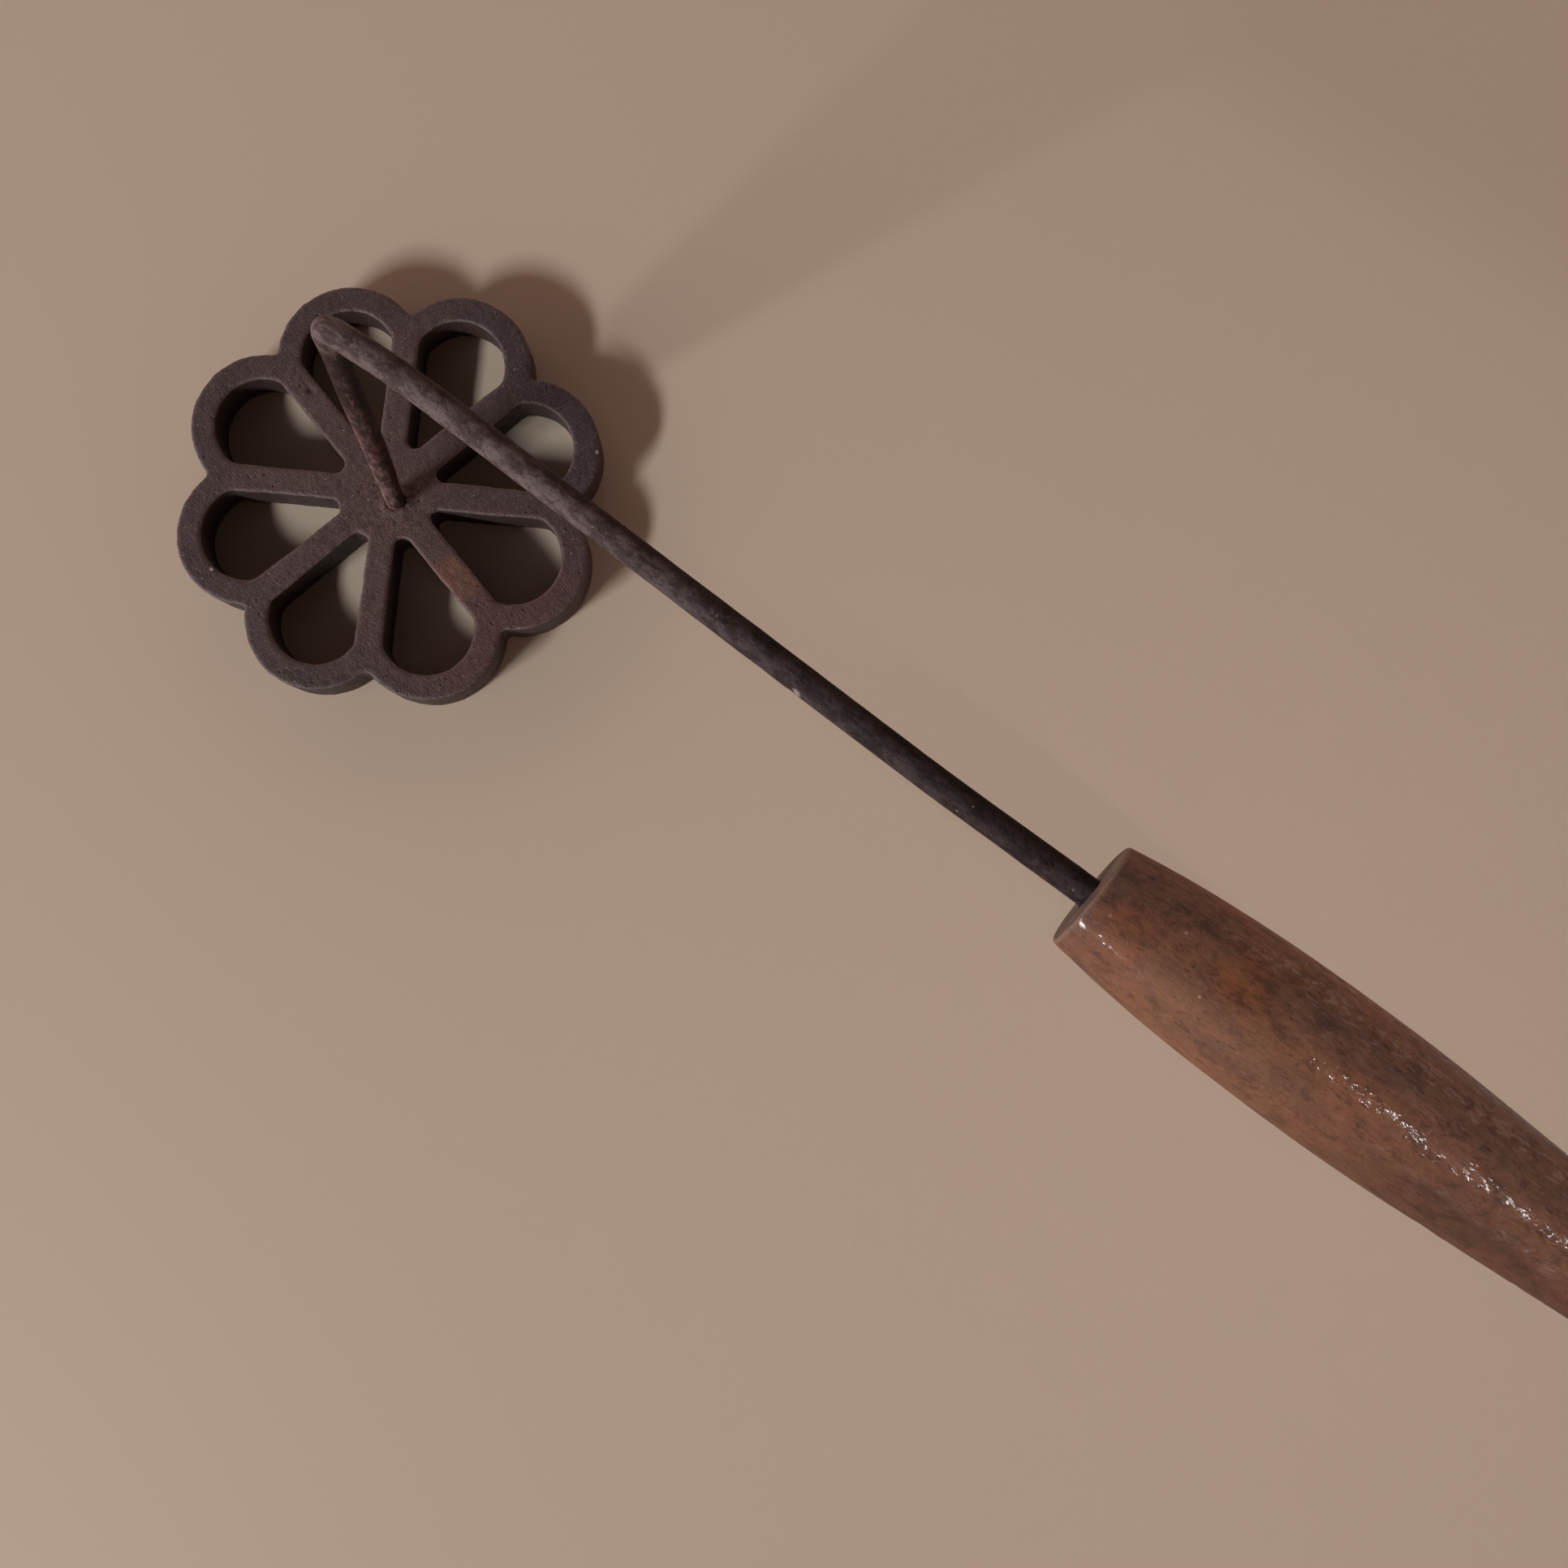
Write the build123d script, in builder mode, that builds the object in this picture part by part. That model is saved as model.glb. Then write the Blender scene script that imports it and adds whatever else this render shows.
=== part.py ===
from build123d import *
from math import cos, radians, sin, sqrt
import os

os.makedirs("parts", exist_ok=True)

# Rosette iron in millimetres: a scalloped cast head, a bent steel rod and a turned wooden handle.
# The origin is the centre of the head's underside. +Z goes up through the head, +X runs out along the arm.

# Cast head
petal_count = 8
head_depth = 9.5
tip_r = 46.0  # head centre to the outermost point of a petal
petal_r = 15.5  # outer arc of one petal
rim_w = 5.5  # rim width on the upper face
spoke_w = 6.1  # spoke width on the upper face
spoke_azimuth = -12.8  # the head is screwed on at this angle to the arm
draft = 1.0  # degrees: every wall thins a little towards the underside
notch_fillet = 1.0  # inside corner between two petals
hole_inner_fillet = 1.7  # rounded point of the teardrop next to the hub
hole_outer_fillet = 3.0  # where a spoke runs into the rim
upper_edge_r = 0.4
lower_edge_r = 0.35

# Threaded end of the rod and its tapped hole, which sits a little off the head's centre
thread_r = 2.0  # nominal radius of the M4 thread, drawn plain at its major diameter
thread_x = 2.8
thread_y = -0.7
thread_top = 18.0  # the thread is cut this far up the post, measured from the head's upper face
thread_recess = 0.4  # the rod's end stops this far inside the underside

# Bent rod: post, sharp bend and arm
rod_r = 2.2
post_start = 0.9  # the post begins to lean this far above the head
post_lean_x = 11.6  # run of the leaning post towards the handle
post_lean_y = 8.7  # and to the side
bend_height = 110.3  # where the post's and the arm's centre lines would meet
post_knee_r = 10.0
bend_r = 5.0
arm_rise = 2.5  # degrees above level
arm_l = 138.9  # from the bend's corner to the handle's front face
crook_l = 26.0  # the last stretch before the handle turns a little
crook_turn = 1.2  # degrees
crook_r = 300.0
arm_drift = -0.15  # degrees: the arm's azimuth before that turn

# Handle, turned in one piece; radii along it from the front face
handle_l = 100.0
face_r = 8.45
face_edge = 0.5
swell = [(8.0, 9.45), (20.0, 10.42), (38.0, 10.78), (50.0, 10.53), (62.0, 9.87), (76.0, 8.88), (90.0, 7.85)]
butt_r = 7.1
butt_dome = 1.4
butt_fillet = 3.0

# Tang inside the handle
rod_in_handle = 12.0  # full-round length inside the wood
tang_l = 44.0
tang_root = 3.1
tang_tip = 1.6
pilot_r = 1.5
pilot_past_tip = 7.0

# Places worked out from the dimensions above
near = 0.01  # tolerance when a corner is picked by its place
half_step = 180.0 / petal_count
petal_azimuth = spoke_azimuth + half_step
petal_centre_r = tip_r - petal_r
upper_face = Plane.XY.offset(head_depth)

foot = Vector(thread_x, thread_y, thread_recess)
knee = Vector(thread_x, thread_y, head_depth + post_start)
bend = Vector(thread_x + post_lean_x, thread_y + post_lean_y, bend_height)
post_dir = (bend - knee).normalized()
shoulder = knee + post_dir * (thread_top - post_start)
arm_dir = Vector(1, 0, 0).rotate(Axis.Y, -arm_rise).rotate(Axis.Z, arm_drift)
grip_dir = arm_dir.rotate(Axis.Z, crook_turn)
crook = bend + arm_dir * (arm_l - crook_l)
face_centre = crook + grip_dir * crook_l
round_end = face_centre + grip_dir * rod_in_handle
tang_end = round_end + grip_dir * tang_l
grip_side = grip_dir.cross(Vector(0, 0, 1)).normalized()


def across(point, direction=grip_dir):
    """Plane square to the rod at a point of its centre line."""
    return Plane(origin=point, x_dir=grip_side, z_dir=direction)


def tang(mode):
    """Square tapered tang, added to the rod or cut from the wood it is driven into."""
    with BuildSketch(across(round_end)) as root_section:
        Rectangle(tang_root, tang_root)
    with BuildSketch(across(tang_end)) as tip_section:
        Rectangle(tang_tip, tang_tip)
    loft(sections=[root_section.sketch, tip_section.sketch], mode=mode)


# One teardrop hole: two sides along the spokes, closed by an arc inside the petal's rim
with BuildSketch() as teardrop:
    hole_r = petal_r - rim_w
    point_x = spoke_w / 2 / sin(radians(half_step))
    centre_to_point = petal_centre_r - point_x
    side_l = centre_to_point * cos(radians(half_step)) + sqrt(
        hole_r**2 - (centre_to_point * sin(radians(half_step))) ** 2
    )
    corner_x = point_x + side_l * cos(radians(half_step))
    corner_y = side_l * sin(radians(half_step))
    with BuildLine():
        Line((point_x, 0), (corner_x, corner_y))
        ThreePointArc((corner_x, corner_y), (petal_centre_r + hole_r, 0), (corner_x, -corner_y))
        Line((corner_x, -corner_y), (point_x, 0))
    make_face()
    corners = teardrop.vertices().sort_by(Axis.X)
    fillet(corners[0], hole_inner_fillet)
    fillet(teardrop.vertices().filter_by(lambda v: abs(abs(v.Y) - corner_y) < near), hole_outer_fillet)

with BuildPart() as rosette_head:
    with BuildSketch(upper_face) as scallop:
        Circle(petal_centre_r)
        with PolarLocations(petal_centre_r, petal_count, start_angle=petal_azimuth):
            Circle(petal_r)
        notches = scallop.vertices().filter_by(lambda v: Vector(v.X, v.Y).length < tip_r - near)
        fillet(notches, notch_fillet)
    extrude(amount=-head_depth, taper=draft)
    with BuildSketch(upper_face):
        with PolarLocations(0, petal_count, start_angle=petal_azimuth):
            add(teardrop.sketch)
    extrude(amount=-head_depth, taper=-draft, mode=Mode.SUBTRACT)
    fillet(rosette_head.faces().sort_by(Axis.Z)[-1].edges(), upper_edge_r)
    fillet(rosette_head.faces().sort_by(Axis.Z)[0].edges(), lower_edge_r)
    with Locations((thread_x, thread_y, head_depth)):
        Hole(thread_r)

rosette_head.part.label = "rosette_head"
export_step(rosette_head.part, "parts/rosette_head.step")

with BuildPart() as rod:
    with BuildLine() as thread_line:
        FilletPolyline(foot, knee, shoulder, radius=post_knee_r)
    with BuildSketch(Plane(origin=foot, z_dir=(0, 0, 1))):
        Circle(thread_r)
    sweep(path=thread_line.wires()[0])
    with BuildLine() as arm_line:
        FilletPolyline(shoulder, bend, crook, round_end, radius=[bend_r, crook_r])
    with BuildSketch(Plane(origin=shoulder, z_dir=post_dir)):
        Circle(rod_r)
    sweep(path=arm_line.wires()[0])
    tang(Mode.ADD)

rod.part.label = "rod"
export_step(rod.part, "parts/rod.step")

with BuildPart() as handle:
    with BuildSketch(Plane(origin=face_centre, x_dir=grip_dir, z_dir=grip_side)):
        with BuildLine():
            Line((0, 0), (0, face_r - face_edge))
            Line((0, face_r - face_edge), (face_edge, face_r))
            Spline((face_edge, face_r), *swell, (handle_l - butt_dome, butt_r))
            ThreePointArc(
                (handle_l - butt_dome, butt_r),
                (handle_l - butt_dome / 4, butt_r / 2),
                (handle_l, 0),
            )
            Line((handle_l, 0), (0, 0))
        make_face()
    revolve(axis=Axis(face_centre, grip_dir))
    circles = handle.edges().filter_by(GeomType.CIRCLE)
    butt_edge = circles.sort_by(lambda e: (e.arc_center - face_centre).dot(grip_dir))[-1]
    fillet(butt_edge, butt_fillet)
    with BuildSketch(across(face_centre)):
        Circle(rod_r)
    extrude(amount=rod_in_handle, mode=Mode.SUBTRACT)
    tang(Mode.SUBTRACT)
    with BuildSketch(across(tang_end)):
        Circle(pilot_r)
    extrude(amount=pilot_past_tip, mode=Mode.SUBTRACT)

handle.part.label = "handle"
export_step(handle.part, "parts/handle.step")
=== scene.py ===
import math

import bpy
import numpy as np
from mathutils import Matrix, Vector, noise


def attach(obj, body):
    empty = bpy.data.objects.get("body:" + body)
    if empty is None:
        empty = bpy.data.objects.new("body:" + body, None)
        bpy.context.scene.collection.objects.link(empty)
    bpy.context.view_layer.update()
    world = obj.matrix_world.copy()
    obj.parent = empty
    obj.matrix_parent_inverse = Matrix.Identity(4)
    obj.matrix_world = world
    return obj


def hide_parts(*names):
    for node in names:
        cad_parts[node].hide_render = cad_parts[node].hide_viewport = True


# Rosette iron standing on its cast head, seen from above. Metres, in the CAD model's frame.
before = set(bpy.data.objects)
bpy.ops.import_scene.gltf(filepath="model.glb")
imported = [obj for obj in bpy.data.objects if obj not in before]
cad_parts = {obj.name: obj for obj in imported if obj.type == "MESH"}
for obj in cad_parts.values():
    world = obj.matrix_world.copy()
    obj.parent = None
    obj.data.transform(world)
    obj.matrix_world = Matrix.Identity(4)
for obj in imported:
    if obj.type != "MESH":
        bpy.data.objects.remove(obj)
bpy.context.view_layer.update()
mm = 0.001

# Rod's route, in millimetres, with the same dimensions as the CAD source
head_depth = 9.5
thread_x = 2.8
thread_y = -0.7
thread_r = 2.0
thread_recess = 0.4
thread_top = 18.0
rod_r = 2.2
post_start = 0.9
post_lean_x = 11.6
post_lean_y = 8.7
bend_height = 110.3
post_knee_r = 10.0
bend_r = 5.0
arm_rise = math.radians(2.5)
arm_drift = math.radians(-0.15)
arm_l = 138.9
crook_l = 26.0
crook_turn = math.radians(1.2)
crook_r = 300.0
rod_in_handle = 12.0
tang_l = 44.0
tang_root = 3.1
tang_tip = 1.6

# Places worked out from the route's dimensions
hub = Vector((thread_x, thread_y, head_depth))
foot = Vector((thread_x, thread_y, thread_recess))
knee = hub + Vector((0, 0, post_start))
bend = Vector((thread_x + post_lean_x, thread_y + post_lean_y, bend_height))
post_dir = (bend - knee).normalized()
level_arm = Vector((math.cos(arm_drift), math.sin(arm_drift), 0))
arm_dir = level_arm * math.cos(arm_rise) + Vector((0, 0, math.sin(arm_rise)))
grip_dir = Matrix.Rotation(crook_turn, 3, "Z") @ arm_dir
crook = bend + arm_dir * (arm_l - crook_l)
face_centre = crook + grip_dir * crook_l
round_end = face_centre + grip_dir * rod_in_handle
tang_end = round_end + grip_dir * tang_l


def fractal(points, cell, seed, octaves=2):
    """Smooth noise from about -1 to 1 at each row of points, with features about one cell long."""
    shift = Vector((7.31, 3.17, 5.03)) * seed
    return np.array([noise.fractal(Vector(p) / cell + shift, 1.0, 2.0, octaves) for p in points])


def bump_at(points, centre, radius):
    """1 at a centre, falling smoothly to 0 at the radius."""
    away = np.linalg.norm(points - np.array(centre), axis=1) / radius
    return np.clip(1 - away**2, 0, 1) ** 2


def rows(items, name):
    """A vector of each item, such as a vertex's place, as the rows of an array."""
    values = np.zeros(len(items) * 3, np.float32)
    items.foreach_get(name, values)
    return values.reshape(-1, 3).astype(float)


def keep_number(mesh, name, values):
    """A number for each vertex, which the material reads."""
    attribute = mesh.attributes.new(name, "FLOAT", "POINT")
    attribute.data.foreach_set("value", np.asarray(values, np.float32))


def keep_vector(mesh, name, values):
    """A vector for each vertex, which the material reads."""
    attribute = mesh.attributes.new(name, "FLOAT_VECTOR", "POINT")
    attribute.data.foreach_set("vector", np.asarray(values, np.float32).ravel())


def settle(piece, node, slot, *materials):
    """Gives a piece its materials, smooth shading and body, and hides its CAD node; slot is not used."""
    piece.data.materials.clear()
    for material in materials:
        piece.data.materials.append(material)
    piece.data.shade_smooth()
    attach(piece, "root")
    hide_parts(node)


class Nodes:
    """Short calls for the shader nodes that are used here, in one node tree."""

    def __init__(self, tree):
        self.tree = tree

    def put(self, socket, value):
        if isinstance(value, bpy.types.NodeSocket):
            self.tree.links.new(value, socket)
        elif socket.type == "RGBA" and len(value) == 3:
            socket.default_value = (*value, 1)
        else:
            socket.default_value = value

    def node(self, kind, inputs, **settings):
        made = self.tree.nodes.new(kind)
        for key, value in settings.items():
            setattr(made, key, value)
        for key, value in inputs.items():
            self.put(made.inputs[key], value)
        return made

    def place(self):
        """Position in millimetres."""
        inputs = {0: self.node("ShaderNodeTexCoord", {}).outputs["Object"], "Scale": 1 / mm}
        return self.node("ShaderNodeVectorMath", inputs, operation="SCALE").outputs[0]

    def stored(self, name, output="Fac"):
        return self.node("ShaderNodeAttribute", {}, attribute_name=name).outputs[output]

    def part(self, vector, axis):
        """One coordinate of a vector."""
        return self.node("ShaderNodeSeparateXYZ", {0: vector}).outputs[axis]

    def turned(self, vector, azimuth):
        """Vector in axes turned about Z by an azimuth."""
        inputs = {"Vector": vector, "Angle": -azimuth}
        return self.node("ShaderNodeVectorRotate", inputs, rotation_type="Z_AXIS").outputs[0]

    def stretched(self, vector, factors):
        return self.node("ShaderNodeVectorMath", {0: vector, 1: factors}, operation="MULTIPLY").outputs[0]

    def cloud(self, vector, size, detail=3.0, rough=0.55, warp=0.0):
        """Noise from 0 to 1 whose patches are about size millimetres."""
        inputs = {"Vector": vector, "Scale": 1 / size, "Detail": detail, "Roughness": rough}
        inputs["Distortion"] = warp
        return self.node("ShaderNodeTexNoise", inputs).outputs["Fac"]

    def dots(self, vector, cell, radius, share):
        """1 inside round specks: one to a cell of cell millimetres, in a share of the cells."""
        inputs = {"Vector": vector, "Scale": 1 / cell}
        cells = self.node("ShaderNodeTexVoronoi", inputs)
        chance = self.node("ShaderNodeSeparateColor", {0: cells.outputs["Color"]}).outputs[0]
        chosen = self.between(chance, 1 - share, 1 - share * 0.8)
        inside = self.between(cells.outputs["Distance"], radius / cell * 0.5, radius / cell, 1.0, 0.0)
        return self.product(chosen, inside)

    def between(self, value, low, high, to_low=0.0, to_high=1.0):
        """Value read smoothly from low..high onto to_low..to_high."""
        inputs = {"Value": value, "From Min": low, "From Max": high, "To Min": to_low, "To Max": to_high}
        return self.node("ShaderNodeMapRange", inputs, interpolation_type="SMOOTHSTEP").outputs["Result"]

    def near(self, vector, centre, inner, outer):
        """1 within inner millimetres of a centre, 0 past outer."""
        away = self.node("ShaderNodeVectorMath", {0: vector, 1: centre}, operation="DISTANCE")
        return self.between(away.outputs["Value"], inner, outer, 1.0, 0.0)

    def sum(self, a, b):
        return self.node("ShaderNodeMath", {0: a, 1: b}, operation="ADD").outputs[0]

    def product(self, a, b):
        return self.node("ShaderNodeMath", {0: a, 1: b}, operation="MULTIPLY").outputs[0]

    def mix(self, factor, a, b, blend="MIX"):
        """Colour a, turning into colour b as the factor rises."""
        made = self.node("ShaderNodeMix", {}, data_type="RGBA", blend_type=blend)
        for socket, value in ((made.inputs["Factor"], factor), (made.inputs[6], a), (made.inputs[7], b)):
            self.put(socket, value)
        return made.outputs[2]

    def tint(self, factor, colour, ratio):
        """Colour, multiplied by a ratio of red, green and blue as far as the factor says."""
        return self.mix(factor, colour, self.mix(1.0, colour, ratio, "MULTIPLY"))

    def relief(self, height, depth, strength=1.0, under=None):
        """Bump of a given depth in millimetres, over another bump if one is given."""
        inputs = {"Height": height, "Distance": depth * mm, "Strength": strength}
        if under is not None:
            inputs["Normal"] = under
        return self.node("ShaderNodeBump", inputs).outputs["Normal"]


class Shade(Nodes):
    """A new material, whose nodes lead to its surface."""

    def __init__(self, name):
        self.material = bpy.data.materials.new(name)
        self.material.use_nodes = True
        super().__init__(self.material.node_tree)
        self.surface = self.tree.nodes["Principled BSDF"]


# Cast head

# Spoke widths on the real casting, from the spoke nearest the arm and on anticlockwise
spoke_azimuth = math.radians(-12.8)
spoke_w = 6.1
spoke_widths = (6.35, 6.35, 6.35, 6.05, 6.1, 5.8, 5.6, 5.75)
hub_r = 7.0
spoke_end_r = 30.0
petal_centre_r = 30.5
petal_r = 15.5
core_offset = (-0.24, -0.12)  # how far the openings were cast off centre
hub_fade = 4.0  # lengths over which these shifts fade out
rim_fade = 6.0
petal_fade = 3.5

# Marks on the head's upper face
pit_place = (-26.7, 6.8, head_depth)
rust_place = (23.3, -5.8, head_depth)
warm_place = (39.0, -9.0, head_depth)
darker_side_place = (16.0, 36.0, head_depth)
hub_centre = (3.0, -1.5, head_depth)
rim_centre = (0, 0, head_depth)
# Light spots: the first two are pale specks, the last is a painted glint on the rim's edge near the arm
pale_specks_and_glint = ((-18.9, -35.8, head_depth), (29.8, 33.6, head_depth), (40.3, -6.4, head_depth))
scrape_azimuth = math.radians(64.0)

# Head's unevenness, in millimetres: a reach is how far one kind of it moves the surface
face_size = 0.435
wander_reach = 0.16
lump_reach = 0.08
sand_reach = 0.06
chip_reach = 0.35
crust_reach = 0.38
pit_reach = 0.4
pit_r = 1.3
crust_r = 7.5
collar_reach = 0.45
collar_w = 1.8
sunk = 0.06  # the uneven surface lies this far inside the CAD head on average
lowest = 0.02
highest = head_depth + 0.05
collar_above = 0.6


def spoke_shift(points):
    """How far each point moves sideways so that every spoke has its own width."""
    moved = np.zeros((len(points), 2))
    from_centre = np.linalg.norm(points[:, :2], axis=1)
    past_hub = np.clip((from_centre - hub_r) / hub_fade, 0, 1)
    before_rim = np.clip((spoke_end_r - from_centre) / rim_fade, 0, 1)
    for index, width in enumerate(spoke_widths):
        azimuth = spoke_azimuth + index * math.tau / len(spoke_widths)
        outward = np.array((math.cos(azimuth), math.sin(azimuth)))
        sideways = np.array((-outward[1], outward[0]))
        across = points[:, :2] @ sideways
        on_spoke = (np.abs(across) < spoke_w * 0.6) & (points[:, :2] @ outward > 0)
        widening = across / (spoke_w / 2) * (width - spoke_w) / 2
        push = widening * (past_hub * before_rim) * on_spoke
        moved += push[:, None] * sideways
    return moved


def core_shift(points):
    """How far each point moves because the openings and spokes were cast a little off centre."""
    from_centre = np.linalg.norm(points[:, :2], axis=1)
    azimuth = np.arctan2(points[:, 1], points[:, 0]) - spoke_azimuth
    step = math.tau / len(spoke_widths)
    petal_azimuth = spoke_azimuth + (np.floor(azimuth / step) + 0.5) * step
    petal_centre = petal_centre_r * np.stack([np.cos(petal_azimuth), np.sin(petal_azimuth)], 1)
    from_petal = np.linalg.norm(points[:, :2] - petal_centre, axis=1)
    among_spokes = (spoke_end_r + 2 - from_centre) / rim_fade
    in_petal = (petal_r - 1 - from_petal) / petal_fade
    return np.clip(np.maximum(among_spokes, in_petal), 0, 1)[:, None] * np.array(core_offset)


def cast_head():
    """The CAD head on an even grid of small faces, made uneven as an old sand casting is."""
    head = bpy.data.objects.new("cast_head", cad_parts["rosette_head"].data.copy())
    bpy.context.scene.collection.objects.link(head)
    remesh = head.modifiers.new("even_faces", "REMESH")
    remesh.mode = "VOXEL"
    remesh.voxel_size = face_size * mm
    even = bpy.data.meshes.new_from_object(head.evaluated_get(bpy.context.evaluated_depsgraph_get()))
    head.modifiers.clear()
    head.data = even

    points = rows(even.vertices, "co") / mm
    out = rows(even.vertex_normals, "vector")
    level = np.abs(out[:, 2])
    upright = np.sqrt(np.clip(1 - level**2, 0, 1))
    arris = np.clip((1 - np.maximum(level, upright)) / 0.25, 0, 1)
    keep_number(even, "arris", arris)
    keep_number(even, "wall", upright)

    moved = points.copy()
    moved[:, :2] += spoke_shift(points) + core_shift(points)
    flat = points * (1, 1, 0.25)
    wander = np.stack([fractal(flat, 16.0, 1), fractal(flat, 16.0, 2)], 1)
    moved[:, :2] += wander_reach * wander
    lumps = fractal(points, 3.2, 3, 3)
    sand = fractal(points, 0.95, 4, 2)
    edge_chips = np.clip(fractal(points, 1.6, 5, 2) - 0.15, 0, 1) * arris
    from_hub = np.linalg.norm(points - np.array(hub), axis=1)
    crust = np.clip(1 - from_hub / crust_r, 0, 1) * (out[:, 2] > 0.5)
    crusty = crust * fractal(points, 1.1, 6, 3)
    pit = bump_at(points, pit_place, pit_r)
    from_foot = np.linalg.norm(points[:, :2] - np.array((thread_x, thread_y)), axis=1)
    collar = np.clip(1 - (from_foot - rod_r) / collar_w, 0, 1) * (points[:, 2] > head_depth - 0.3)
    height = lump_reach * lumps + sand_reach * sand - chip_reach * edge_chips
    height += crust_reach * crusty - pit_reach * pit
    height += collar_reach * (1 + lumps) * collar**2
    keep_number(even, "hollow", -height)
    moved += out * (height - sunk)[:, None]
    moved[:, 2] = np.clip(moved[:, 2], lowest, highest + collar_above * collar)
    even.vertices.foreach_set("co", (moved * mm).astype(np.float32).ravel())
    even.update()
    settle(head, "rosette_head", "cast_head", cast_iron())


def cast_iron():
    """Brown-grey sandy iron with old oil, pale worn arrises and a little rust."""
    shade = Shade("cast_iron")
    place = shade.place()
    broad = shade.cloud(place, 9.0, 4.0)
    medium = shade.cloud(place, 2.2, 4.0, 0.6)
    grain = shade.cloud(place, 0.45, 3.0, 0.6)
    ragged = shade.between(shade.cloud(place, 3.0, 5.0, 0.65, 0.4), 0.38, 0.62)
    colour = shade.mix(shade.between(broad, 0.35, 0.65), (0.066, 0.039, 0.038), (0.080, 0.048, 0.047))
    colour = shade.mix(shade.between(medium, 0.45, 0.80, 0.0, 0.6), colour, (0.104, 0.066, 0.062))
    colour = shade.mix(shade.between(medium, 0.20, 0.42, 0.5, 0.0), colour, (0.050, 0.030, 0.030))

    # Broad changes: the darker rim, a darker, bluer side, a warm side, one rusty spoke and the crust on
    # the hub
    inward = shade.near(place, rim_centre, 28.0, 42.0)
    darker = shade.mix(1.0, colour, (0.74, 0.76, 0.85), "MULTIPLY")
    colour = shade.mix(inward, darker, colour)
    darker_side = shade.near(place, darker_side_place, 12.0, 38.0)
    colour = shade.tint(darker_side, colour, (0.62, 0.64, 0.72))
    warm_edge = shade.sum(shade.product(ragged, 0.4), 0.6)
    warm = shade.product(shade.near(place, warm_place, 6.0, 34.0), warm_edge)
    colour = shade.mix(warm, colour, (0.083, 0.038, 0.033))
    rust = shade.product(shade.near(place, rust_place, 3.0, 6.5), shade.sum(ragged, 0.45))
    colour = shade.mix(shade.product(rust, 0.9), colour, (0.145, 0.066, 0.040))
    round_hub = shade.near(place, hub_centre, 4.0, 12.0)
    flaked = shade.between(shade.cloud(place, 1.2, 5.0, 0.7, 0.8), 0.38, 0.62)
    crust = shade.mix(flaked, (0.042, 0.021, 0.018), (0.152, 0.085, 0.064))
    crust_edge = shade.sum(shade.product(ragged, 0.65), 0.3)
    colour = shade.mix(shade.product(round_hub, crust_edge), colour, crust)

    # Scrapes across the faces
    scraped = shade.stretched(shade.turned(place, scrape_azimuth), (0.16, 1, 1))
    scrape = shade.cloud(scraped, 0.5, 3.0, 0.6)
    colour = shade.mix(shade.between(scrape, 0.56, 0.70, 0.0, 0.4), colour, (0.140, 0.098, 0.092))
    colour = shade.mix(shade.between(scrape, 0.30, 0.44, 0.4, 0.0), colour, (0.040, 0.023, 0.022))

    # Sand grain, pits, pale specks, a painted glint on the rim and points of rust
    colour = shade.mix(shade.between(grain, 0.28, 0.46, 0.75, 0.0), colour, (0.026, 0.015, 0.014))
    colour = shade.mix(shade.between(grain, 0.56, 0.74, 0.0, 0.6), colour, (0.150, 0.108, 0.102))
    pits = shade.dots(place, 2.2, 0.42, 0.55)
    specks = shade.dots(place, 1.7, 0.26, 0.4)
    colour = shade.mix(shade.product(pits, 0.8), colour, (0.024, 0.013, 0.012))
    colour = shade.mix(shade.product(specks, 0.75), colour, (0.240, 0.190, 0.180))
    # The last of these light spots is a painted glint, not a speck
    for spot in pale_specks_and_glint:
        colour = shade.mix(shade.near(place, spot, 0.15, 0.62), colour, (0.400, 0.350, 0.330))
    scattered = shade.between(shade.cloud(place, 1.4, 3.0, 0.7), 0.66, 0.78, 0.0, 0.5)
    colour = shade.mix(scattered, colour, (0.110, 0.055, 0.038))

    # Dark hollows and walls, pale worn edges
    hollow = shade.between(shade.stored("hollow"), 0.05, 0.3, 0.0, 0.7)
    colour = shade.mix(hollow, colour, (0.020, 0.013, 0.012))
    wall = shade.between(shade.stored("wall"), 0.6, 1.0, 0.0, 0.9)
    colour = shade.mix(wall, colour, (0.029, 0.017, 0.015))
    arris = shade.product(shade.stored("arris"), shade.between(medium, 0.35, 0.6, 0.15, 0.7))
    colour = shade.mix(arris, colour, (0.115, 0.086, 0.082))
    shade.put(shade.surface.inputs["Base Color"], colour)

    rough = shade.between(medium, 0.3, 0.7, 0.52, 0.68)
    rough = shade.sum(rough, shade.product(arris, -0.08))
    shade.put(shade.surface.inputs["Roughness"], rough)
    shade.surface.inputs["Specular IOR Level"].default_value = 0.45
    fine = shade.relief(grain, 0.17)
    pitted = shade.relief(shade.product(pits, -1.0), 0.16, 1.0, fine)
    lumpy = shade.relief(shade.cloud(place, 1.1, 3.0), 0.20, 1.0, pitted)
    shade.put(shade.surface.inputs["Normal"], lumpy)
    return shade.material


# Rings swept along a line, which the rod and the handle are made of

arc_steps = 40


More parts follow.
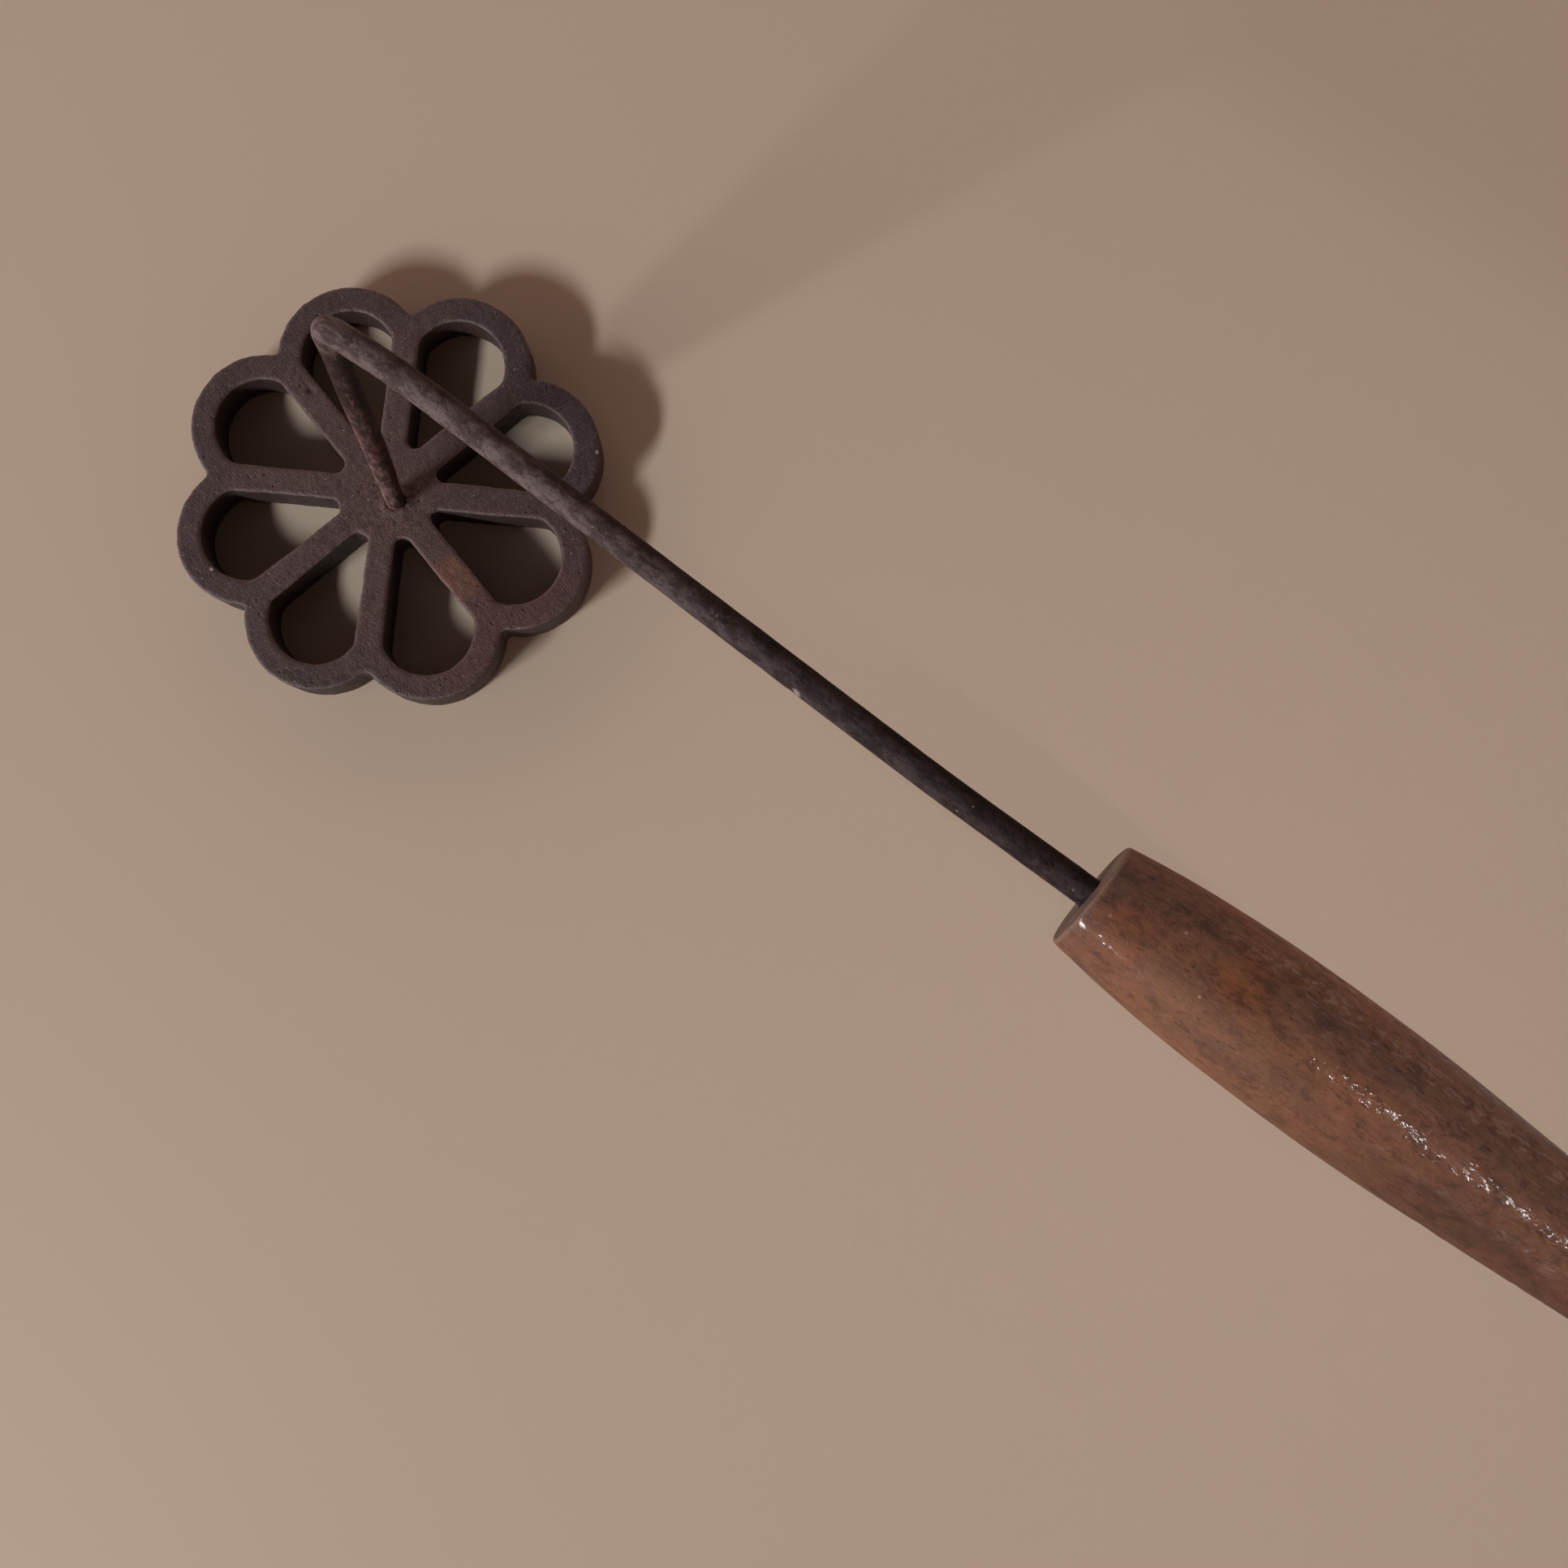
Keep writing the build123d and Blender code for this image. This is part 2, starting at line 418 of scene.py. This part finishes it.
def ring_mesh(name, rings, grain):
    """A closed mesh through rings of points, each end filled by a fan round its middle."""
    count, around = rings.shape[:2]
    vertices = list(rings.reshape(-1, 3)) + [rings[0].mean(0), rings[-1].mean(0)]
    grains = list(grain.reshape(-1, 3)) + [grain[0].mean(0), grain[-1].mean(0)]
    faces = []
    for ring in range(count - 1):
        for step in range(around):
            following = (step + 1) % around
            faces.append((ring * around + step, ring * around + following,
                          (ring + 1) * around + following, (ring + 1) * around + step))
    first, last = count * around, count * around + 1
    for step in range(around):
        following = (step + 1) % around
        faces.append((first, following, step))
        faces.append((last, (count - 1) * around + step, (count - 1) * around + following))
    mesh = bpy.data.meshes.new(name)
    mesh.from_pydata([tuple(v) for v in vertices], [], faces)
    keep_vector(mesh, "grain", grains)
    made = bpy.data.objects.new(name, mesh)
    bpy.context.scene.collection.objects.link(made)
    return made


def rounded_route(corners, radii):
    """Points along straight runs joined by arcs, one radius for each inner corner."""
    route = [corners[0]]
    for before, corner, after, radius in zip(corners, corners[1:], corners[2:], radii):
        arriving = (corner - before).normalized()
        leaving = (after - corner).normalized()
        turn = arriving.angle(leaving)
        start = corner - arriving * radius * math.tan(turn / 2)
        inward = (leaving - arriving * math.cos(turn)).normalized()
        for share in np.linspace(0, 1, arc_steps):
            angle = turn * share
            onward = arriving * radius * math.sin(angle)
            route.append(start + onward + inward * radius * (1 - math.cos(angle)))
    route.append(corners[-1])
    return np.array([tuple(p) for p in route])


# Rod

thread_pitch = 0.7
thread_depth = 0.22
rod_segments = 56
ring_spacing = 0.42
thread_spacing = 0.085  # rings lie closer on the thread
thread_runout = 1.2  # and this far past its end
foot_chamfer = 0.5
nick_at = 88.0  # along the arm from the bend
nick_reach = 0.35
nick_r = 1.1
nick_place = (199.0, -2.1, 0.5)  # the same nick in the rod's own coordinates
bend_shift = (0.43, -0.83, 0.0)  # the bend was hammered round a little off the straight runs
bend_reach = 10.0
post_bow = (-0.36, -0.28, 0.0)
bow_before = 28.0  # the post bows most this far before the bend
bow_reach = 24.0
hammered_reach = 7.0
scale_reach = 0.030
dent_reach = 0.045


def rod_piece():
    """Threaded foot, leaning post, bend, arm and the tang hidden in the handle."""
    shoulder = knee + post_dir * (thread_top - post_start)
    route = rounded_route([foot, knee, bend, crook, tang_end], [post_knee_r, bend_r, crook_r])
    lengths = np.r_[0, np.cumsum(np.linalg.norm(np.diff(route, axis=0), axis=1))]
    total = lengths[-1]
    knee_at = lengths[np.argmin(np.linalg.norm(route - np.array(knee), axis=1))]
    shoulder_at = knee_at + (shoulder - knee).length
    bend_at = lengths[np.argmin(np.linalg.norm(route - np.array(bend), axis=1))]
    tang_at = total - tang_l
    thread_steps = np.arange(0, shoulder_at + thread_runout, thread_spacing)
    plain_steps = np.arange(shoulder_at + thread_runout + 0.1, total, ring_spacing)
    steps = np.r_[thread_steps, plain_steps, total]
    centres = np.stack([np.interp(steps, lengths, route[:, axis]) for axis in range(3)], 1)
    centres += np.exp(-((steps - bend_at) / bend_reach) ** 2)[:, None] * bend_shift
    centres += np.exp(-((steps - bend_at + bow_before) / bow_reach) ** 2)[:, None] * post_bow
    tangents = np.gradient(centres, steps, axis=0)
    tangents /= np.linalg.norm(tangents, axis=1)[:, None]

    # A frame that turns with the line without twisting
    side = np.array((0.0, 1.0, 0.0))
    sides = []
    for tangent in tangents:
        side = side - tangent * (side @ tangent)
        side /= np.linalg.norm(side)
        sides.append(side)
    sides = np.array(sides)
    uprights = np.cross(tangents, sides)

    angles = np.linspace(0, math.tau, rod_segments, endpoint=False)
    ring_cos, ring_sin = np.cos(angles), np.sin(angles)
    grain = np.zeros((len(steps), rod_segments, 3))
    grain[:, :, 0] = steps[:, None]
    grain[:, :, 1] = rod_r * ring_cos
    grain[:, :, 2] = rod_r * ring_sin
    flat_grain = grain.reshape(-1, 3)

    radius = np.full((len(steps), rod_segments), rod_r)
    turns = steps[:, None] / thread_pitch - angles / math.tau
    ridge = np.abs((turns % 1) * 2 - 1)
    clogged = 0.65 + 0.35 * fractal(flat_grain, 2.4, 11).reshape(radius.shape)
    threaded = thread_r - thread_depth * clogged * np.clip(ridge * 1.5 - 0.25, 0, 1)
    on_thread = np.clip((shoulder_at - steps) / 0.35, 0, 1)[:, None]
    radius = radius * (1 - on_thread) + threaded * on_thread
    radius -= foot_chamfer * np.clip(1 - steps / 0.6, 0, 1)[:, None]
    square = tang_root + (tang_tip - tang_root) * np.clip((steps - tang_at) / tang_l, 0, 1)
    tang = square[:, None] / 2 / np.maximum(np.abs(ring_cos), np.abs(ring_sin))
    radius = np.where(steps[:, None] > tang_at, tang, radius)

    worn = scale_reach * fractal(flat_grain * (0.35, 1, 1), 1.3, 12, 3).reshape(radius.shape)
    uneven = dent_reach * fractal(flat_grain * (0.5, 1, 1), 5.0, 13).reshape(radius.shape)
    hammered = np.exp(-((steps - bend_at) / hammered_reach) ** 2)[:, None]
    uneven *= 1 + 2.0 * hammered
    nick = bump_at(flat_grain, (bend_at + nick_at, -rod_r, 0), nick_r).reshape(radius.shape)
    radius += np.where(steps[:, None] > tang_at, 0, worn + uneven - nick_reach * nick)

    rings = centres[:, None, :] + radius[:, :, None] * (
        ring_cos[None, :, None] * sides[:, None, :] + ring_sin[None, :, None] * uprights[:, None, :]
    )
    rod = ring_mesh("bent_rod", rings * mm, grain)
    settle(rod, "rod", "steel_rod", worn_steel())


def worn_steel():
    """Dark weathered steel, lighter near the bend and darker and browner towards the handle."""
    shade = Shade("worn_steel")
    grain = shade.stored("grain", "Vector")
    drawn = shade.stretched(grain, (0.25, 1, 1))
    streak = shade.cloud(drawn, 0.8, 4.0, 0.6)
    patch = shade.cloud(shade.stretched(grain, (0.6, 1, 1)), 2.2, 4.0, 0.65)
    fleck = shade.cloud(shade.stretched(grain, (0.7, 1, 1)), 0.7, 4.0, 0.7)
    speck = shade.cloud(grain, 0.35, 3.0, 0.65)
    colour = shade.mix(shade.between(patch, 0.42, 0.58), (0.052, 0.037, 0.037), (0.116, 0.089, 0.090))
    colour = shade.mix(shade.between(streak, 0.52, 0.72, 0.0, 0.5), colour, (0.132, 0.106, 0.104))
    colour = shade.mix(shade.between(streak, 0.28, 0.46, 0.6, 0.0), colour, (0.036, 0.025, 0.024))
    colour = shade.mix(shade.between(fleck, 0.55, 0.68, 0.0, 0.65), colour, (0.155, 0.128, 0.127))
    colour = shade.mix(shade.between(fleck, 0.32, 0.46, 0.7, 0.0), colour, (0.024, 0.016, 0.015))

    # The arm, darker towards the handle; all distances are from the rod's foot
    along = shade.part(grain, 0)
    towards_handle = shade.between(along, 146.0, 198.0)
    colour = shade.tint(towards_handle, colour, (0.40, 0.38, 0.40))
    near_handle = shade.between(along, 205.0, 232.0)
    colour = shade.tint(near_handle, colour, (0.72, 0.66, 0.66))

    # The post, browner and caked with rust, with painted shade under the bend and on the side turned away
    # from the lamp, and a painted highlight along its low edge that faces the lamp
    post = shade.between(along, 98.0, 106.0, 1.0, 0.0)
    colour = shade.tint(post, colour, (1.10, 0.90, 0.84))
    upper_post = shade.product(post, shade.between(along, 28.0, 50.0))
    colour = shade.tint(upper_post, colour, (0.88, 0.86, 0.90))
    # Painted shade under the bend, where the arm shades the post
    under_bend_painted_shade = shade.product(post, shade.between(along, 66.0, 80.0))
    colour = shade.tint(under_bend_painted_shade, colour, (0.30, 0.27, 0.32))
    sideways = shade.sum(
        shade.product(shade.part(grain, 1), 0.88),
        shade.product(shade.part(grain, 2), -0.47),
    )
    caked = shade.cloud(shade.stretched(grain, (0.22, 1, 1)), 1.3, 4.0, 0.65, 0.4)
    dark_cake = shade.product(post, shade.between(caked, 0.40, 0.54, 0.8, 0.0))
    colour = shade.mix(dark_cake, colour, (0.024, 0.015, 0.013))
    light_cake = shade.product(post, shade.between(caked, 0.56, 0.70, 0.0, 0.45))
    colour = shade.mix(light_cake, colour, (0.170, 0.112, 0.092))
    # Painted shade on the side of the post turned away from the lamp
    post_painted_shade = shade.product(post, shade.between(sideways, 0.1, 1.2))
    colour = shade.tint(post_painted_shade, colour, (0.34, 0.29, 0.29))
    # Painted highlight on the low post's edge that faces the lamp
    low_post = shade.between(along, 58.0, 76.0, 1.0, 0.0)
    post_painted_highlight = shade.product(low_post, shade.between(sideways, -2.15, -1.65, 1.0, 0.0))
    colour = shade.tint(post_painted_highlight, colour, (1.90, 1.75, 1.70))

    # The arm's painted shade on the side turned away from the lamp, the bright nick, rust and pale specks
    far_side = shade.between(shade.part(grain, 1), 0.1, 1.8)
    arm_painted_shade = shade.product(shade.between(along, 108.0, 122.0), far_side)
    colour = shade.tint(arm_painted_shade, colour, (0.20, 0.15, 0.15))
    rubbed = shade.near(grain, nick_place, 0.3, 1.1)
    colour = shade.mix(shade.product(rubbed, 0.8), colour, (0.300, 0.262, 0.250))
    rust = shade.between(shade.cloud(grain, 1.8, 4.0, 0.7), 0.58, 0.75, 0.0, 0.5)
    colour = shade.mix(rust, colour, (0.085, 0.042, 0.030))
    colour = shade.mix(shade.between(speck, 0.25, 0.42, 0.7, 0.0), colour, (0.022, 0.014, 0.013))
    pale_dots = shade.dots(grain, 1.6, 0.20, 0.3)
    colour = shade.mix(shade.product(pale_dots, 0.7), colour, (0.230, 0.205, 0.200))
    shade.put(shade.surface.inputs["Base Color"], colour)

    rough = shade.sum(shade.between(patch, 0.3, 0.7, 0.60, 0.50), shade.product(towards_handle, 0.08))
    shade.put(shade.surface.inputs["Roughness"], rough)
    shade.surface.inputs["Specular IOR Level"].default_value = 0.11
    pitted = shade.relief(speck, 0.10)
    shade.put(shade.surface.inputs["Normal"], shade.relief(fleck, 0.22, 1.0, pitted))
    return shade.material


# Handle

handle_segments = 176
bore_r = 2.32
pilot_r = 1.45  # radius of the narrow end of the bore
pilot_past_tip = 4.0
axis_r = 0.02  # first and last rings, which a fan closes
face_edge = 0.5
butt_l = 5.2  # the rounded end, whose shape is read exactly
butt_rings = 40
side_spacing = 0.36
face_rings = 26
face_slant = 0.045  # the front face was sawn a little out of square
turned_reach = 0.07
ridge_reach = 0.016
dent_depth = 0.25
handle_sunk = 0.03  # the uneven surface lies this far inside the CAD handle on average
orange_patches = ((5.5, 3.4, 8.3), (22.0, -1.4, 10.3))


def handle_profile():
    """Outer radius along the handle, read from the CAD handle: smooth on the side, exact at the butt."""
    points = rows(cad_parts["handle"].data.vertices, "co") / mm - np.array(face_centre)
    along = points @ np.array(grip_dir)
    radius = np.linalg.norm(points - along[:, None] * np.array(grip_dir), axis=1)
    length = along.max()

    # The side is free of the bore, of the front edge and of the rounded butt
    side = (radius > 6) & (along > 0.4) & (along < length - 5)
    fit = np.polynomial.Polynomial.fit(along[side], radius[side], 9)
    butt = along > length - 6
    order = np.argsort(along[butt])
    return length, fit, along[butt][order], radius[butt][order]


def handle_piece():
    """Turned handle with its front face, the hole that the rod enters and a rounded butt."""
    length, side_fit, butt_along, butt_radius = handle_profile()
    side = np.arange(face_edge, length - butt_l, side_spacing)
    bore_end = rod_in_handle + tang_l

    # A station is a distance from the front face and a radius; they run from the butt into the bore
    stations = [(length, axis_r)]
    for share in np.linspace(0, 1, butt_rings)[1:]:
        at = length - butt_l * share**2
        stations.append((at, float(np.interp(at, butt_along, butt_radius))))
    stations += [(at, float(side_fit(at))) for at in side[::-1]]

    # The worn front edge, the face, and the bore with its worn mouth
    face_r = float(side_fit(face_edge))
    stations += [(face_edge * 0.5, face_r - 0.12), (0.12, face_r - 0.32)]
    stations += [(0.0, r) for r in np.linspace(face_r - face_edge - 0.1, bore_r + 0.25, face_rings)]
    stations += [(0.15, bore_r + 0.06), (0.5, bore_r)]
    stations += [(at, bore_r) for at in np.linspace(1, rod_in_handle, 12)]
    pilot_end = bore_end + pilot_past_tip
    stations += [(bore_end, pilot_r), (pilot_end - 1, pilot_r - 0.05), (pilot_end, axis_r)]
    stations = np.array(stations)

    angles = np.linspace(0, math.tau, handle_segments, endpoint=False)
    across = np.array(grip_dir.cross(Vector((0, 0, 1))).normalized())
    upward = np.cross(across, np.array(grip_dir))
    grain = np.zeros((len(stations), handle_segments, 3))
    grain[:, :, 0] = stations[:, :1]
    grain[:, :, 1] = stations[:, 1:] * np.cos(angles)
    grain[:, :, 2] = stations[:, 1:] * np.sin(angles)
    flat_grain = grain.reshape(-1, 3)

    outer_stations = butt_rings + len(side)
    outside = np.arange(len(stations)) < outer_stations
    hand_turned = fractal(flat_grain * (0.5, 1, 1), 9.0, 21).reshape(grain.shape[:2])
    grain_ridges = fractal(flat_grain * (0.12, 1, 1), 0.9, 22, 3).reshape(grain.shape[:2])
    dents = np.clip(fractal(flat_grain, 4.2, 23) - 0.42, 0, 1).reshape(grain.shape[:2])
    change = turned_reach * hand_turned + ridge_reach * grain_ridges - dent_depth * dents - handle_sunk
    change = np.where(outside[:, None], change, 0)
    growth = 1 + change / np.maximum(stations[:, 1:], 1.0)
    oblique = -face_slant * grain[:, :, 1] * np.exp(-grain[:, :, 0] / 8.0)
    rings = (
        np.array(face_centre) + oblique[:, :, None] * np.array(grip_dir)
        + grain[:, :, :1] * np.array(grip_dir)
        + grain[:, :, 1:2] * growth[:, :, None] * across
        + grain[:, :, 2:] * growth[:, :, None] * upward
    )
    handle = ring_mesh("turned_handle", rings * mm, grain)
    settle(handle, "handle", "varnished_wood", varnished_wood(), end_grain())

    # The front face and the bore's mouth show end grain, the second material
    face_first = (outer_stations + 1) * handle_segments
    face_last = face_first + (face_rings + 3) * handle_segments
    in_face = np.zeros(len(handle.data.polygons), np.int32)
    in_face[face_first:face_last] = 1
    handle.data.polygons.foreach_set("material_index", in_face)


def wood_colour(shade, grain):
    """Reddish brown wood: long streaks, tan and brown mottling and short dark pores.

    In the grain's own axes, x runs from the front face to the butt, and y towards the lamp's side.
    """
    long = shade.cloud(shade.stretched(grain, (0.30, 1, 1)), 4.5, 4.0, 0.55, 0.5)
    stain = shade.cloud(shade.stretched(grain, (0.60, 1, 1)), 7.0, 3.0, 0.5, 0.4)
    mottle = shade.cloud(shade.stretched(grain, (0.60, 1, 1)), 1.6, 4.0, 0.6)
    fine = shade.cloud(shade.stretched(grain, (0.50, 1, 1)), 0.38, 3.0, 0.6)
    pores = shade.cloud(shade.stretched(grain, (0.32, 1, 1)), 0.42, 2.0, 0.5)
    colour = shade.mix(shade.between(stain, 0.36, 0.64), (0.152, 0.075, 0.042), (0.182, 0.080, 0.045))
    colour = shade.mix(shade.between(long, 0.52, 0.66, 0.0, 0.6), colour, (0.196, 0.086, 0.046))
    colour = shade.mix(shade.between(long, 0.34, 0.48, 0.6, 0.0), colour, (0.112, 0.058, 0.040))
    colour = shade.mix(shade.between(mottle, 0.34, 0.50, 0.65, 0.0), colour, (0.085, 0.041, 0.028))
    colour = shade.mix(shade.between(mottle, 0.56, 0.70, 0.0, 0.4), colour, (0.222, 0.118, 0.076))
    colour = shade.mix(shade.between(fine, 0.30, 0.46, 0.5, 0.0), colour, (0.078, 0.038, 0.026))
    colour = shade.mix(shade.between(fine, 0.56, 0.70, 0.0, 0.35), colour, (0.250, 0.142, 0.096))

    # Blotches, warm patches, short flecks and single dots
    blotch = shade.cloud(shade.stretched(grain, (0.55, 1, 1)), 1.9, 5.0, 0.65, 0.4)
    # Dark blotches: real marks, made stronger on the side away from the lamp as painted shade
    away_from_lamp = shade.between(shade.part(grain, 1), -1.0, 5.0, 1.0, 0.35)
    dark_blotch_and_shade = shade.product(away_from_lamp, shade.between(blotch, 0.34, 0.50, 0.62, 0.0))
    colour = shade.mix(dark_blotch_and_shade, colour, (0.060, 0.034, 0.026))
    colour = shade.mix(shade.between(blotch, 0.54, 0.68, 0.0, 0.5), colour, (0.212, 0.097, 0.054))
    for patch in orange_patches:
        colour = shade.tint(shade.near(grain, patch, 2.0, 6.0), colour, (1.16, 0.97, 0.84))
    flecks = shade.dots(shade.stretched(grain, (0.4, 1, 1)), 2.1, 0.40, 0.5)
    colour = shade.mix(shade.product(flecks, 0.5), colour, (0.056, 0.028, 0.021))
    dark_spots = shade.dots(grain, 4.0, 0.5, 0.14)
    colour = shade.mix(shade.product(dark_spots, 0.85), colour, (0.040, 0.020, 0.015))
    pale_spots = shade.dots(grain, 3.1, 0.3, 0.25)
    colour = shade.mix(shade.product(pale_spots, 0.6), colour, (0.330, 0.230, 0.180))

    # Slow changes along the handle and round it: painted light and shade that even out the lit and shaded
    # sides towards the butt, painted fill light on the shaded side, a darker far part, a painted sheen on
    # the far part's edge away from the lamp and a greyer front
    lit_side = shade.between(shade.part(grain, 1), 1.0, 8.0)
    towards_butt = shade.between(shade.part(grain, 0), 18.0, 62.0)
    # Painted light and shade: towards the butt the lit side is darkened and the shaded side lightened
    painted_light_tint = shade.mix(lit_side, (1.32, 1.34, 1.38), (0.66, 0.60, 0.58))
    colour = shade.tint(towards_butt, colour, painted_light_tint)
    # Painted fill light: the side turned away from the lamp is lightened
    turned_away = shade.between(shade.part(grain, 1), -4.5, 1.0, 1.0, 0.0)
    edge_off = shade.between(shade.part(grain, 1), -10.0, -6.0, 0.5, 1.0)
    shaded_side_painted_fill = shade.product(turned_away, edge_off)
    colour = shade.tint(shaded_side_painted_fill, colour, (1.12, 1.32, 1.46))
    far_part = shade.between(shade.part(grain, 0), 36.0, 62.0)
    colour = shade.tint(far_part, colour, (0.80, 0.84, 0.90))
    # Painted reflection: a grey sheen along the far part's edge away from the lamp
    painted_sheen = shade.product(shade.between(shade.part(grain, 1), -9.3, -7.0, 0.85, 0.0), far_part)
    colour = shade.mix(painted_sheen, colour, (0.170, 0.136, 0.126))
    greyed = shade.between(shade.part(grain, 0), 2.0, 16.0, 1.0, 0.0)
    colour = shade.tint(greyed, colour, (0.78, 0.84, 0.96))
    dark_pores = shade.between(pores, 0.28, 0.36, 0.6, 0.0)
    colour = shade.mix(dark_pores, colour, (0.040, 0.020, 0.014))
    return colour, mottle, pores


def varnished_wood():
    """The handle's side, with a thin worn varnish that glints in short broken strokes."""
    shade = Shade("varnished_wood")
    grain = shade.stored("grain", "Vector")
    colour, mottle, pores = wood_colour(shade, grain)
    at_face = shade.between(shade.part(grain, 0), 0.25, 0.9, 0.5, 0.0)
    colour = shade.mix(at_face, colour, (0.190, 0.145, 0.115))
    shade.put(shade.surface.inputs["Base Color"], colour)
    shade.put(shade.surface.inputs["Roughness"], shade.between(mottle, 0.3, 0.7, 0.48, 0.60))
    shade.surface.inputs["Specular IOR Level"].default_value = 0.09

    # Worn varnish: left in small patches, fewer near the face and at the sides, with fine ripples
    beads = shade.cloud(shade.stretched(grain, (0.60, 1, 1)), 0.95, 3.0, 0.6)
    patchy = shade.between(beads, 0.49, 0.56, 0.04, 1.0)
    patchy = shade.product(patchy, shade.between(shade.part(grain, 0), 10.0, 26.0, 0.12, 1.0))
    patchy = shade.product(patchy, shade.between(shade.part(grain, 1), -6.0, -1.0, 0.3, 1.0))
    patchy = shade.product(patchy, shade.between(shade.part(grain, 1), 4.8, 6.6, 1.0, 0.08))
    shade.put(shade.surface.inputs["Coat Weight"], patchy)
    shade.surface.inputs["Coat Roughness"].default_value = 0.10
    shade.surface.inputs["Coat IOR"].default_value = 1.9
    deep = shade.relief(pores, 0.05)
    fibres = shade.cloud(shade.stretched(grain, (0.2, 1, 1)), 0.55, 3.0, 0.6)
    shade.put(shade.surface.inputs["Normal"], shade.relief(fibres, 0.05, 1.0, deep))
    ripples = shade.cloud(shade.stretched(grain, (0.6, 1, 1)), 0.75, 2.0, 0.5)
    ripples = shade.product(ripples, shade.between(shade.part(grain, 0), 14.0, 32.0, 0.40, 1.2))
    shade.put(shade.surface.inputs["Coat Normal"], shade.relief(ripples, 0.085))
    return shade.material


def end_grain():
    """Dull greyed end of the wood, with pore dots and darker rings."""
    shade = Shade("end_grain")
    grain = shade.stored("grain", "Vector")
    dots = shade.cloud(grain, 0.28, 2.0, 0.5)
    stain = shade.cloud(grain, 3.0, 4.0, 0.6)
    colour = shade.mix(shade.between(stain, 0.35, 0.65), (0.085, 0.055, 0.042), (0.130, 0.088, 0.068))
    colour = shade.mix(shade.between(dots, 0.32, 0.48, 0.8, 0.0), colour, (0.030, 0.018, 0.015))
    shade.put(shade.surface.inputs["Base Color"], colour)
    shade.put(shade.surface.inputs["Roughness"], shade.between(stain, 0.3, 0.7, 0.6, 0.8))
    shade.put(shade.surface.inputs["Normal"], shade.relief(dots, 0.06))
    return shade.material


# Setting: pale floor, studio lights and the photograph's camera, in metres and watts

floor_half = 2.0
floor_below = 0.1 * mm
floor_colour = (0.575, 0.467, 0.358, 1)
key_place = (-0.524, -2.589, 1.468)
key_size = (0.78, 0.24)
key_power = 76.0
key_colour = (0.97, 0.98, 1.0)
key_long_side = (-0.308, 0.152, 0.126)

# The glint lamps' places, lengths and aims along x
glint_lamps = ((0.532, 0.080, 0.26), (0.632, 0.085, 0.27), (0.728, 0.085, 0.28))
glint_y = -0.17
glint_z = 1.10
glint_w = 0.022
glint_power = 0.036  # for each metre of length
glint_colour = (0.97, 0.98, 1.0)
glint_spread = math.radians(19)
handle_z = 0.11

horizon_colour = (1.0, 0.66, 0.58, 1)
camera_place = Vector((123.2, -21.0, 333.4)) * mm
view_dir = Vector((-0.0584, 0.0706, -0.9958))
image_up = Vector((-0.609, 0.788, 0.0916))


def pale_floor():
    turns = ((-1, -1), (1, -1), (1, 1), (-1, 1))
    corners = [(x * floor_half, y * floor_half, -floor_below) for x, y in turns]
    mesh = bpy.data.meshes.new("floor")
    mesh.from_pydata(corners, [], [(0, 1, 2, 3)])
    floor = bpy.data.objects.new("floor", mesh)
    bpy.context.scene.collection.objects.link(floor)
    shade = Shade("floor")
    shade.surface.inputs["Base Color"].default_value = floor_colour
    shade.surface.inputs["Roughness"].default_value = 0.65
    mesh.materials.append(shade.material)


def soft_light(name, place, size, power, colour, long_side=(1, 0, 0), aim=(0, 0, 0), spread=math.pi):
    """A rectangular lamp at a place in metres, turned to face the point that it is aimed at."""
    lamp = bpy.data.lights.new(name, "AREA")
    lamp.shape = "RECTANGLE"
    lamp.size, lamp.size_y = size
    lamp.energy = power
    lamp.color = colour
    lamp.spread = spread
    placed = bpy.data.objects.new(name, lamp)
    back = (Vector(place) - Vector(aim)).normalized()
    upright = back.cross(Vector(long_side)).normalized()
    turn = Matrix((upright.cross(back), upright, back)).transposed().to_4x4()
    placed.matrix_world = Matrix.Translation(place) @ turn
    bpy.context.scene.collection.objects.link(placed)


def studio():
    """One long low lamp, three faint ones for the handle's glints, and a warm dim horizon."""
    soft_light("key", key_place, key_size, key_power, key_colour, key_long_side)
    for number, (x, length, aim_x) in enumerate(glint_lamps):
        soft_light(
            f"glint_{number}", (x, glint_y, glint_z), (length, glint_w), glint_power * length,
            glint_colour, aim=(aim_x, 0.0, handle_z), spread=glint_spread,
        )
    world = bpy.data.worlds.new("studio")
    bpy.context.scene.world = world
    world.use_nodes = True
    nodes = Nodes(world.node_tree)
    direction = nodes.node("ShaderNodeTexCoord", {}).outputs["Generated"]

    # Brighter towards -X and almost dark above 33 degrees
    across = nodes.between(nodes.part(direction, 0), -0.9, 0.7, 2.05, 0.78)
    behind = nodes.between(nodes.part(direction, 1), -0.3, 0.7, 1.0, 0.98)
    low = nodes.between(nodes.part(direction, 2), 0.25, 0.55, 1.0, 0.03)
    background = world.node_tree.nodes["Background"]
    nodes.put(background.inputs["Color"], horizon_colour)
    nodes.put(background.inputs["Strength"], nodes.product(nodes.product(across, behind), low))


def photo_camera():
    """The photograph's viewpoint: almost straight down, from a third of a metre."""
    back = -view_dir.normalized()
    right = image_up.cross(back).normalized()
    up = back.cross(right)
    camera = bpy.data.objects.new("camera", bpy.data.cameras.new("camera"))
    camera.data.lens = 36
    camera.data.sensor_width = 36
    camera.data.clip_start = 0.01
    turn = Matrix((right, up, back)).transposed().to_4x4()
    camera.matrix_world = Matrix.Translation(camera_place) @ turn
    bpy.context.scene.collection.objects.link(camera)
    bpy.context.scene.camera = camera


cast_head()
rod_piece()
handle_piece()
pale_floor()
studio()
photo_camera()
bpy.context.scene.view_settings.view_transform = "Standard"
